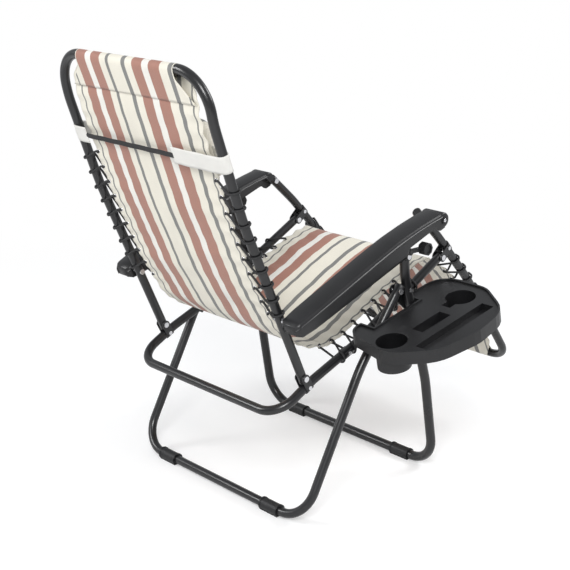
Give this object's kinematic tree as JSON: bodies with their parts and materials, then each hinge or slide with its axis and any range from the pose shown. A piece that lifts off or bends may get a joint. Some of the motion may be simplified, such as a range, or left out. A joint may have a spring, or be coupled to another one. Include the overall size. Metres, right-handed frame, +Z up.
{
  "type": "folding reclining beach chair",
  "caption": "Folding reclining beach lounger: crossed tube legs, laced sling seat, back and footrest, moulded armrests with slide locks, head pillow and clip-on cup tray.",
  "frame": {"origin": "on the floor, midway between the sides, under the rear floor bar", "axes": "+X the sitter's forward direction, +Y to the sitter's left, +Z up"},
  "size_m": [1.087, 0.8872, 1.089],
  "materials": {
    "tube_paint": "semi-gloss black powder coat",
    "steel_sheet": "black painted steel sheet",
    "rivet_steel": "bright zinc plated steel",
    "sling_cloth": "woven textilene with lengthways stripes",
    "pillow_cloth": "the same cloth, padded",
    "strap_cloth": "white webbing",
    "elastic": "black braided elastic",
    "arm_plastic": "satin black moulded",
    "lever_plastic": "black moulded",
    "tray_plastic": "satin black moulded",
    "cap_plastic": "black moulded",
    "foot_plastic": "black moulded",
    "bush_plastic": "natural nylon"
  },
  "bodies": {
    "leg_frame": {"front_leg_frame": "tube_paint", "front_leg_caps": "cap_plastic", "front_foot_left": "foot_plastic", "front_foot_right": "foot_plastic", "leg_plate_left": "steel_sheet", "leg_plate_right": "steel_sheet", "leg_plate_rivets": "rivet_steel", "leg_pivot_rivets": "rivet_steel", "seat_pivot_rivets": "rivet_steel", "seat_pivot_spacers": "bush_plastic", "lock_pivot_rivets": "rivet_steel"},
    "rear_legs": {"rear_leg_frame": "tube_paint", "rear_leg_caps": "cap_plastic", "rear_foot_left": "foot_plastic", "rear_foot_right": "foot_plastic"},
    "seat": {"seat_frame": "tube_paint", "seat_end_caps": "cap_plastic", "back_bracket_left": "steel_sheet", "back_bracket_right": "steel_sheet", "bracket_rivets": "rivet_steel", "rail_clips": "steel_sheet", "rail_clip_rivets": "rivet_steel", "back_pivot_rivets": "rivet_steel", "foot_pivot_rivets": "rivet_steel", "sling_seat": "sling_cloth", "seat_lacing_left": "elastic", "seat_lacing_right": "elastic"},
    "back": {"back_frame": "tube_paint", "back_end_caps": "cap_plastic", "armrest_rear_rivets": "rivet_steel", "sling_back": "sling_cloth", "back_lacing_left": "elastic", "back_lacing_right": "elastic"},
    "headrest": {"headrest_pillow": "pillow_cloth", "headrest_tab_left": "strap_cloth", "headrest_tab_right": "strap_cloth", "headrest_elastic": "elastic"},
    "footrest": {"footrest_frame": "tube_paint", "foot_end_caps": "cap_plastic", "foot_bracket_left": "steel_sheet", "foot_bracket_right": "steel_sheet", "foot_bracket_rivets": "rivet_steel", "armrest_front_studs": "rivet_steel", "sling_foot": "sling_cloth", "foot_lacing_left": "elastic", "foot_lacing_right": "elastic"},
    "armrest_left": {"armrest_left": "arm_plastic", "armrest_rail_left": "steel_sheet", "armrest_cap_left": "rivet_steel"},
    "lock_left": {"lock_carrier_left": "steel_sheet"},
    "lever_left": {"lock_lever_left": "lever_plastic"},
    "armrest_right": {"armrest_right": "arm_plastic", "armrest_rail_right": "steel_sheet", "armrest_cap_right": "rivet_steel"},
    "lock_right": {"lock_carrier_right": "steel_sheet"},
    "lever_right": {"lock_lever_right": "lever_plastic"},
    "tray": {"side_tray": "tray_plastic"}
  },
  "joints": [
    {"name": "recline", "type": "hinge", "parent": "leg_frame", "child": "seat", "pos_m": [0.355, 0, 0.468], "axis": [0, -1, 0], "range_deg": [0, 22]},
    {"name": "back_hinge", "type": "hinge", "parent": "seat", "child": "back", "pos_m": [0.038, 0, 0.353], "axis": [0, -1, 0], "range_deg": [0, 13.6]},
    {"name": "footrest_hinge", "type": "hinge", "parent": "seat", "child": "footrest", "pos_m": [0.511, 0, 0.55], "axis": [0, -1, 0], "range_deg": [0, 16.6]},
    {"name": "leg_fold", "type": "hinge", "parent": "leg_frame", "child": "rear_legs", "pos_m": [0.307, 0, 0.515], "axis": [0, -1, 0], "range_deg": [0, 44]},
    {"name": "armrest_left_hinge", "type": "hinge", "parent": "back", "child": "armrest_left", "pos_m": [-0.031, 0.309, 0.51], "axis": [0, -1, 0], "range_deg": [-14.6, 0]},
    {"name": "lock_left_hinge", "type": "hinge", "parent": "leg_frame", "child": "lock_left", "pos_m": [0.328, 0.305, 0.598], "axis": [0, -1, 0], "range_deg": [0, 21]},
    {"name": "lever_left_turn", "type": "hinge", "parent": "lock_left", "child": "lever_left", "pos_m": [0.32036, 0.329, 0.61355], "axis": [0, -1, 0], "range_deg": [-55, 0]},
    {"name": "armrest_right_hinge", "type": "hinge", "parent": "back", "child": "armrest_right", "pos_m": [-0.031, -0.309, 0.51], "axis": [0, -1, 0], "range_deg": [-14.6, 0]},
    {"name": "lock_right_hinge", "type": "hinge", "parent": "leg_frame", "child": "lock_right", "pos_m": [0.328, -0.305, 0.598], "axis": [0, -1, 0], "range_deg": [0, 21]},
    {"name": "lever_right_turn", "type": "hinge", "parent": "lock_right", "child": "lever_right", "pos_m": [0.32036, -0.329, 0.61355], "axis": [0, -1, 0], "range_deg": [-55, 0]},
    {"name": "headrest_slide", "type": "slide", "parent": "back", "child": "headrest", "axis": [-0.3294, 0, 0.9442], "range_m": [-0.022, 0.025]},
    {"name": "tray_slide", "type": "slide", "parent": "leg_frame", "child": "tray", "axis": [0, -1, 0], "range_m": [0, 0.15]}
  ],
  "couplings": [
    {"joint": "back_hinge", "follows": "recline", "ratio": 0.6166},
    {"joint": "footrest_hinge", "follows": "recline", "ratio": 0.7538},
    {"joint": "armrest_left_hinge", "follows": "recline", "ratio": -0.6627},
    {"joint": "lock_left_hinge", "follows": "recline", "ratio": 0.9539},
    {"joint": "armrest_right_hinge", "follows": "recline", "ratio": -0.6627},
    {"joint": "lock_right_hinge", "follows": "recline", "ratio": 0.9539}
  ]
}
